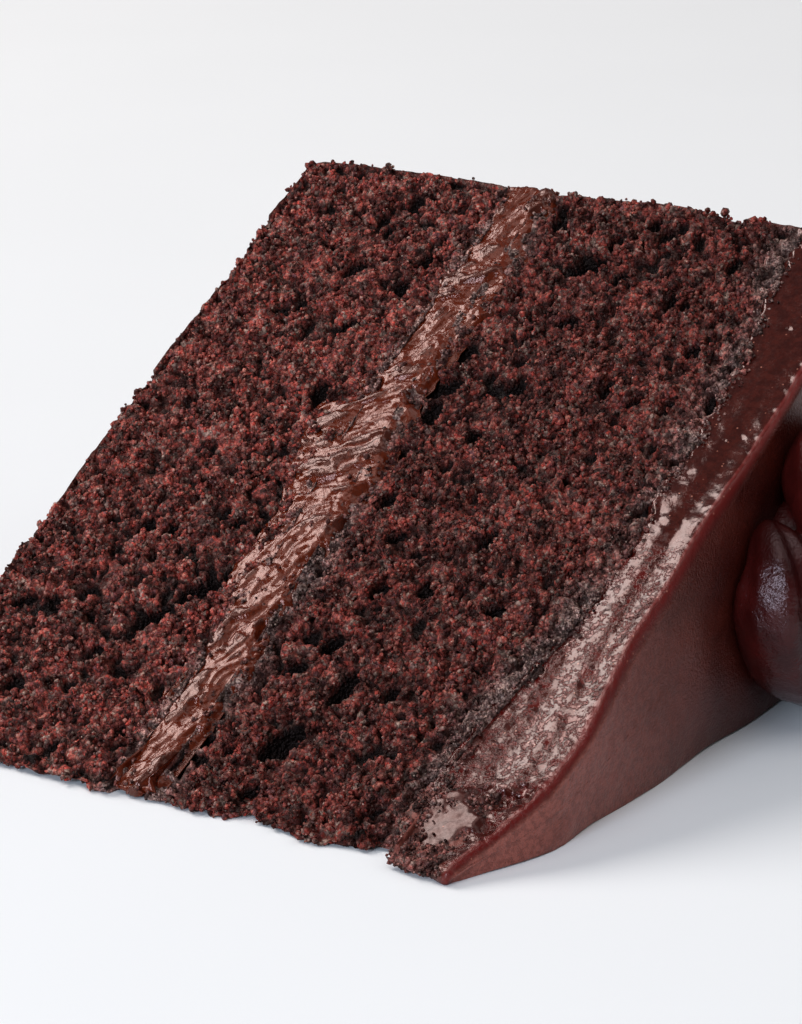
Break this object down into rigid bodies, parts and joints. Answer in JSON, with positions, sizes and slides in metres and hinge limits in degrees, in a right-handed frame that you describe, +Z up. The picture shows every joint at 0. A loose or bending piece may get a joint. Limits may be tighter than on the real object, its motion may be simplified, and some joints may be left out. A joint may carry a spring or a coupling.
{
  "type": "slice of chocolate layer cake",
  "caption": "Wedge of dark chocolate layer cake lying on its cut face, with a filling between the sponges, a smooth iced top and a piped swirl.",
  "frame": {"origin": "middle of the slice's footprint, on the surface that the slice lies on", "axes": "+X along the cake's own height, from the baked base to the iced top; +Y from the point of the slice outwards to the rim, along the cut face that it lies on; +Z up, away from that face"},
  "size_m": [0.1042, 0.103, 0.0508],
  "materials": {
    "sponge": "dark moist open crumb, dull",
    "filling": "soft chocolate cream, satin with glossy knife drags",
    "icing": "smooth dark chocolate icing, satin",
    "piping": "glossy dark chocolate icing, piped"
  },
  "bodies": {
    "root": {"sponge_lower": "sponge", "filling": "filling", "sponge_upper": "sponge", "icing_top": "icing", "piped_swirl": "piping"}
  },
  "joints": []
}
